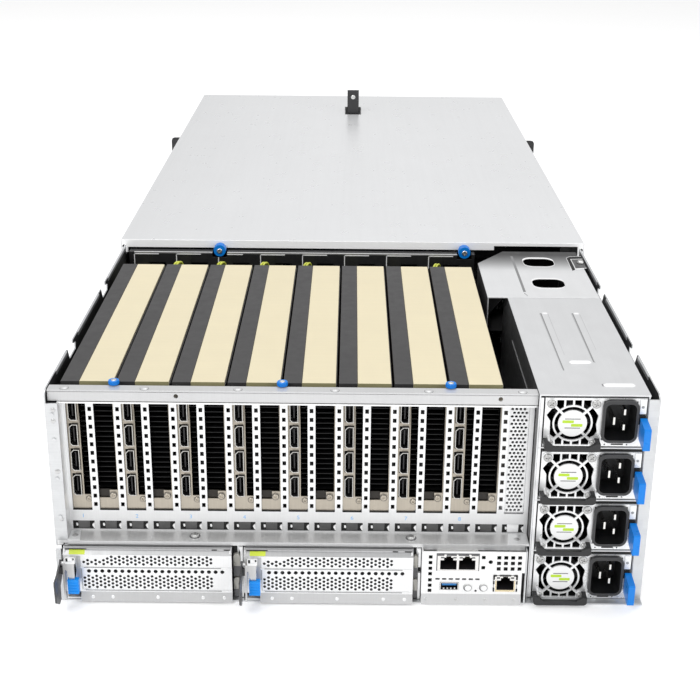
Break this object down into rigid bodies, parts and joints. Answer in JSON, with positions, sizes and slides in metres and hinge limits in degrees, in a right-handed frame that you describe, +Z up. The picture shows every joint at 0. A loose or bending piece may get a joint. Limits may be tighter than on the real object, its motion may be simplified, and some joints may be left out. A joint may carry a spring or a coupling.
{
  "type": "four-unit rack server",
  "caption": "Four-unit rack server, open at the rear, with a row of double-width cards, stacked hot-swap power supplies, riser modules and a front top cover.",
  "frame": {"origin": "middle of the object in plan, at the underside of the chassis floor", "axes": "+X right seen from the rear, -Y to the rear (slots, power supplies), +Y to the front, +Z up"},
  "size_m": [0.4826, 1.0966, 0.208],
  "materials": {
    "zinc_steel": "bright zinc-coated sheet",
    "cover_grey": "light grey satin sheet",
    "white_steel": "bright white-silver sheet",
    "black_steel": "black satin powder coat",
    "card_dark": "dark grey matt",
    "card_gold": "pale gold satin anodised",
    "bracket_nickel": "taupe nickel",
    "socket_metal": "bright socket shell",
    "black_plastic": "black moulding",
    "grey_plastic": "dark grey moulding",
    "blue_plastic": "bright blue touch point",
    "board_green": "circuit board",
    "wire_yellow": "yellow-green wire",
    "fin_black": "black fins",
    "fin_alu": "plain aluminium fins",
    "screw_steel": "zinc screw"
  },
  "bodies": {
    "chassis": {"chassis_tub": "zinc_steel", "slot_panel": "white_steel", "rear_beam": "white_steel", "beam_thumbscrews": "blue_plastic", "card_housings": "card_dark", "card_covers": "card_gold", "card_brackets": "bracket_nickel", "card_video_sockets": "socket_metal", "card_heatsinks": "fin_black", "card_boards": "board_green", "card_power_leads": "wire_yellow", "slot_blank": "white_steel", "card_end_support": "black_steel", "lower_shelf": "zinc_steel", "card_baseboard": "board_green", "psu_cage": "cover_grey", "cable_bridge": "cover_grey", "power_board": "board_green", "io_panel": "white_steel", "io_sockets": "socket_metal", "io_board": "board_green", "fan_wall": "black_plastic", "mainboard": "board_green", "cpu_heatsinks": "fin_alu", "memory_modules": "board_green", "front_panel": "black_steel", "rack_ears": "black_steel", "panel_screws": "screw_steel"},
    "cover": {"top_cover": "cover_grey", "cover_thumbscrews": "blue_plastic", "latch_dish": "black_plastic"},
    "cover_latch": {"cover_latch": "black_plastic"},
    "power_button": {"power_button": "grey_plastic"},
    "riser_left": {"riser_module_left": "white_steel"},
    "riser_right": {"riser_module_right": "white_steel"},
    "riser_lever_left": {"riser_lever_left": "zinc_steel"},
    "riser_lever_right": {"riser_lever_right": "zinc_steel"},
    "fan_rotor_1": {"fan_rotor_1": "black_plastic"},
    "fan_rotor_2": {"fan_rotor_2": "black_plastic"},
    "fan_rotor_3": {"fan_rotor_3": "black_plastic"},
    "psu_1": {"psu_case_1": "zinc_steel", "psu_inlet_1": "grey_plastic"},
    "psu_handle_1": {"psu_handle_1": "grey_plastic"},
    "psu_latch_1": {"psu_latch_1": "blue_plastic"},
    "psu_rotor_1": {"psu_rotor_1": "black_plastic"},
    "psu_2": {"psu_case_2": "zinc_steel", "psu_inlet_2": "grey_plastic"},
    "psu_handle_2": {"psu_handle_2": "grey_plastic"},
    "psu_latch_2": {"psu_latch_2": "blue_plastic"},
    "psu_rotor_2": {"psu_rotor_2": "black_plastic"},
    "psu_3": {"psu_case_3": "zinc_steel", "psu_inlet_3": "grey_plastic"},
    "psu_handle_3": {"psu_handle_3": "grey_plastic"},
    "psu_latch_3": {"psu_latch_3": "blue_plastic"},
    "psu_rotor_3": {"psu_rotor_3": "black_plastic"},
    "psu_4": {"psu_case_4": "zinc_steel", "psu_inlet_4": "grey_plastic"},
    "psu_handle_4": {"psu_handle_4": "grey_plastic"},
    "psu_latch_4": {"psu_latch_4": "blue_plastic"},
    "psu_rotor_4": {"psu_rotor_4": "black_plastic"}
  },
  "joints": [
    {"name": "cover_lift", "type": "slide", "parent": "chassis", "child": "cover", "axis": [0, 0, 1], "range_m": [0, 0.2]},
    {"name": "cover_latch_fold", "type": "hinge", "parent": "cover", "child": "cover_latch", "pos_m": [0, 0.4248, 0.1726], "axis": [1, 0, 0], "range_deg": [-88, 0]},
    {"name": "psu_1_slide", "type": "slide", "parent": "chassis", "child": "psu_1", "axis": [0, -1, 0], "range_m": [0, 0.225]},
    {"name": "psu_1_handle_swing", "type": "hinge", "parent": "psu_1", "child": "psu_handle_1", "pos_m": [0.1588, -0.5176, 0.1367], "axis": [1, 0, 0], "range_deg": [-90, 0]},
    {"name": "psu_1_latch_press", "type": "hinge", "parent": "psu_1", "child": "psu_latch_1", "pos_m": [0.2098, -0.5161, 0.1459], "axis": [0, 0, 1], "range_deg": [-5, 0], "stiffness_Nm_per_rad": 0.8},
    {"name": "psu_1_fan_spin", "type": "hinge", "parent": "psu_1", "child": "psu_rotor_1", "pos_m": [0.1592, -0.5082, 0.1489], "axis": [0, 1, 0], "continuous": true},
    {"name": "psu_2_slide", "type": "slide", "parent": "chassis", "child": "psu_2", "axis": [0, -1, 0], "range_m": [0, 0.225]},
    {"name": "psu_2_handle_swing", "type": "hinge", "parent": "psu_2", "child": "psu_handle_2", "pos_m": [0.1588, -0.5176, 0.0935], "axis": [1, 0, 0], "range_deg": [-90, 0]},
    {"name": "psu_2_latch_press", "type": "hinge", "parent": "psu_2", "child": "psu_latch_2", "pos_m": [0.2098, -0.5161, 0.1027], "axis": [0, 0, 1], "range_deg": [-5, 0], "stiffness_Nm_per_rad": 0.8},
    {"name": "psu_2_fan_spin", "type": "hinge", "parent": "psu_2", "child": "psu_rotor_2", "pos_m": [0.1592, -0.5082, 0.1057], "axis": [0, 1, 0], "continuous": true},
    {"name": "psu_3_slide", "type": "slide", "parent": "chassis", "child": "psu_3", "axis": [0, -1, 0], "range_m": [0, 0.225]},
    {"name": "psu_3_handle_swing", "type": "hinge", "parent": "psu_3", "child": "psu_handle_3", "pos_m": [0.1588, -0.5176, 0.0504], "axis": [1, 0, 0], "range_deg": [-90, 0]},
    {"name": "psu_3_latch_press", "type": "hinge", "parent": "psu_3", "child": "psu_latch_3", "pos_m": [0.2098, -0.5161, 0.0596], "axis": [0, 0, 1], "range_deg": [-5, 0], "stiffness_Nm_per_rad": 0.8},
    {"name": "psu_3_fan_spin", "type": "hinge", "parent": "psu_3", "child": "psu_rotor_3", "pos_m": [0.1592, -0.5082, 0.0626], "axis": [0, 1, 0], "continuous": true},
    {"name": "psu_4_slide", "type": "slide", "parent": "chassis", "child": "psu_4", "axis": [0, -1, 0], "range_m": [0, 0.225]},
    {"name": "psu_4_handle_swing", "type": "hinge", "parent": "psu_4", "child": "psu_handle_4", "pos_m": [0.1588, -0.5176, 0.0073], "axis": [1, 0, 0], "range_deg": [-90, 0]},
    {"name": "psu_4_latch_press", "type": "hinge", "parent": "psu_4", "child": "psu_latch_4", "pos_m": [0.2098, -0.5161, 0.0165], "axis": [0, 0, 1], "range_deg": [-5, 0], "stiffness_Nm_per_rad": 0.8},
    {"name": "psu_4_fan_spin", "type": "hinge", "parent": "psu_4", "child": "psu_rotor_4", "pos_m": [0.1592, -0.5082, 0.0195], "axis": [0, 1, 0], "continuous": true},
    {"name": "riser_left_slide", "type": "slide", "parent": "chassis", "child": "riser_left", "axis": [0, -1, 0], "range_m": [0, 0.26]},
    {"name": "riser_left_lever_swing", "type": "hinge", "parent": "riser_left", "child": "riser_lever_left", "pos_m": [-0.214, -0.5262, 0.0356], "axis": [1, 0, 0], "range_deg": [-50, 0]},
    {"name": "riser_right_slide", "type": "slide", "parent": "chassis", "child": "riser_right", "axis": [0, -1, 0], "range_m": [0, 0.26]},
    {"name": "riser_right_lever_swing", "type": "hinge", "parent": "riser_right", "child": "riser_lever_right", "pos_m": [-0.0789, -0.5262, 0.0356], "axis": [1, 0, 0], "range_deg": [-50, 0]},
    {"name": "fan_1_spin", "type": "hinge", "parent": "chassis", "child": "fan_rotor_1", "pos_m": [-0.14, -0.1392, 0.082], "axis": [0, 1, 0], "continuous": true},
    {"name": "fan_2_spin", "type": "hinge", "parent": "chassis", "child": "fan_rotor_2", "pos_m": [-0.01, -0.1392, 0.082], "axis": [0, 1, 0], "continuous": true},
    {"name": "fan_3_spin", "type": "hinge", "parent": "chassis", "child": "fan_rotor_3", "pos_m": [0.12, -0.1392, 0.082], "axis": [0, 1, 0], "continuous": true},
    {"name": "power_button_press", "type": "slide", "parent": "chassis", "child": "power_button", "axis": [0, -1, 0], "range_m": [0, 0.0015], "stiffness_N_per_m": 400}
  ]
}
